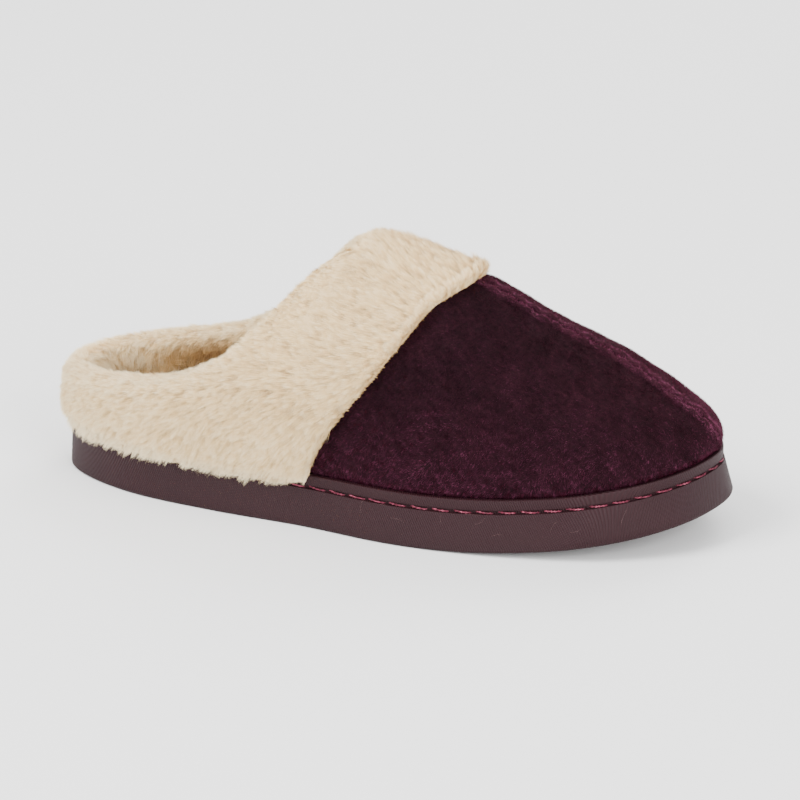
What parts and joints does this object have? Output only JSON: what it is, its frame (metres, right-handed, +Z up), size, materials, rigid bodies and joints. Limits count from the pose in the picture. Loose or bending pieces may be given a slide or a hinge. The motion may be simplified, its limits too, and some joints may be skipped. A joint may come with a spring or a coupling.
{
  "type": "scuff slipper",
  "caption": "Closed-toe, open-back scuff slipper with a padded velour upper, a deep fur collar and a moulded cup sole.",
  "frame": {"origin": "on the floor, under the middle of the whole slipper's box", "axes": "+X towards the toe, +Z up, -Y to the outer side of the foot"},
  "size_m": [0.264, 0.0962, 0.1056],
  "materials": {
    "sole": "satin moulded rubber, fine upright ribs on the side",
    "lining": "short plush",
    "velour": "short napped velour",
    "fur": "deep brushed faux fur"
  },
  "bodies": {
    "root": {"sole": "sole", "insole": "lining", "upper": "velour", "cuff": "fur"}
  },
  "joints": []
}
